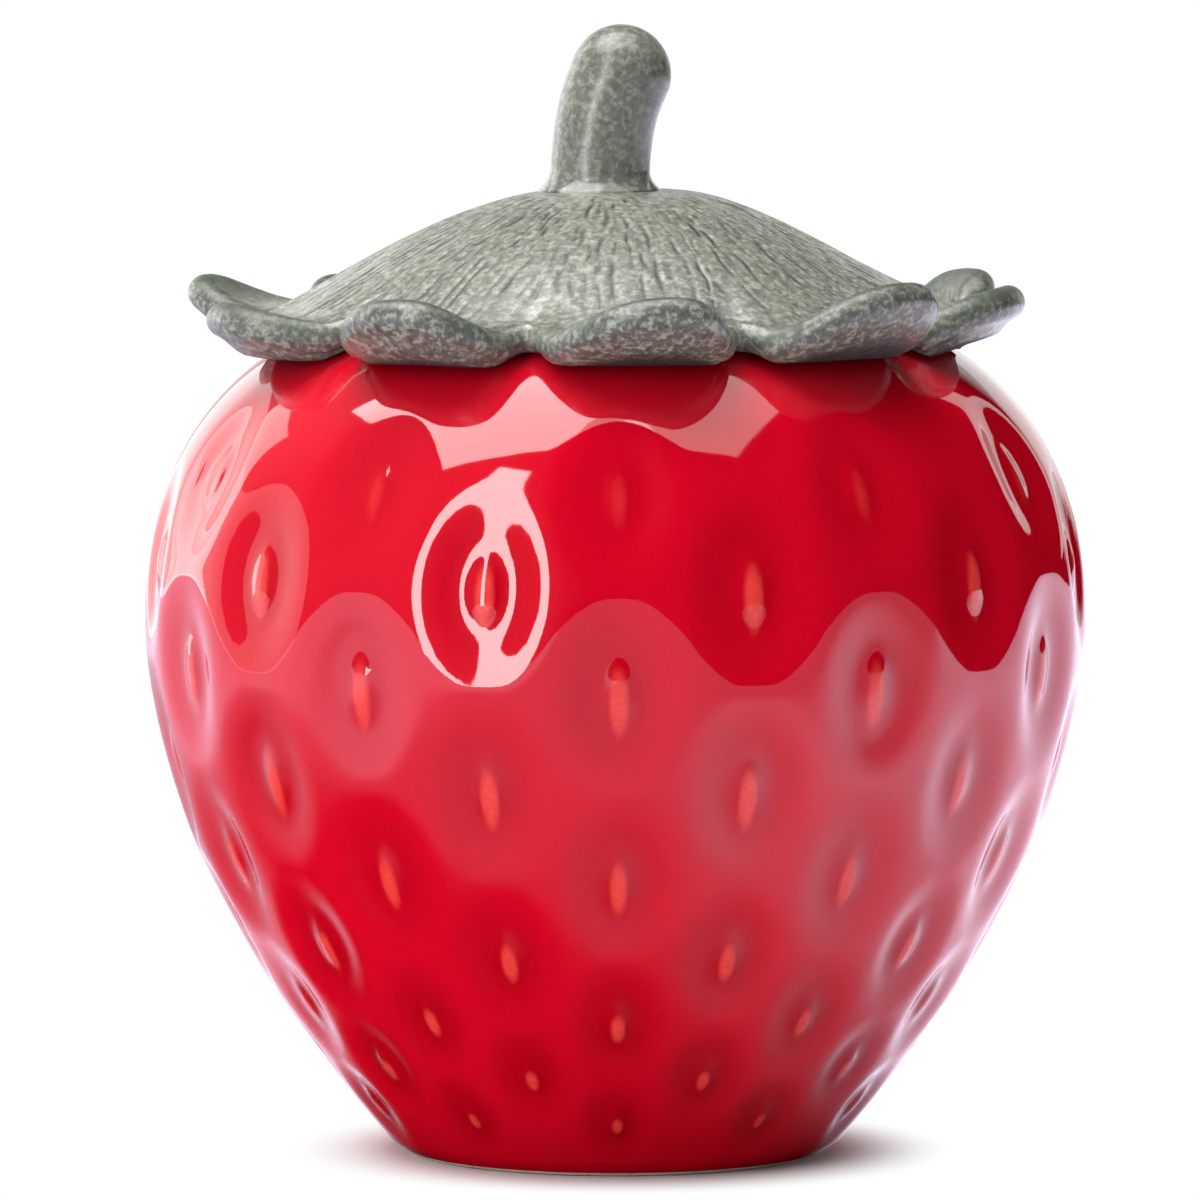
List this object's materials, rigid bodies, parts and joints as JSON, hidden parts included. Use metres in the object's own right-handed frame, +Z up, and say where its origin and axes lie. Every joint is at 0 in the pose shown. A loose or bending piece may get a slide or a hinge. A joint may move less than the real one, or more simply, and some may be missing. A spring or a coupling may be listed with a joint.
{
  "type": "strawberry jar",
  "caption": "Glazed ceramic storage jar shaped as a strawberry, with a dimpled body on a foot ring and a leafy lid that lifts off by its stem.",
  "frame": {"origin": "centre of the foot, on the surface that the jar stands on", "axes": "+Z up along the jar's axis, towards the stem; -Y to the front, +X to the right as seen from the front, where the stem's tip leans"},
  "size_m": [0.13, 0.1292, 0.1559],
  "materials": {
    "red_glaze": "deep glossy red glaze over a white body",
    "green_glaze": "satin speckled grey-green reactive glaze",
    "stem_glaze": "satin speckled grey-green reactive glaze",
    "silicone": "translucent white silicone"
  },
  "bodies": {
    "jar": {"jar_body": "red_glaze"},
    "seal": {"seal_ring": "silicone"},
    "lid": {"lid_calyx": "green_glaze", "stem_knob": "stem_glaze"}
  },
  "joints": [
    {"name": "lid_lift", "type": "slide", "parent": "jar", "child": "seal", "axis": [0, 0, 1], "range_m": [0, 0.05]},
    {"name": "lid_turn", "type": "hinge", "parent": "seal", "child": "lid", "pos_m": [0, 0, 0.114], "axis": [0, 0, 1], "continuous": true}
  ]
}
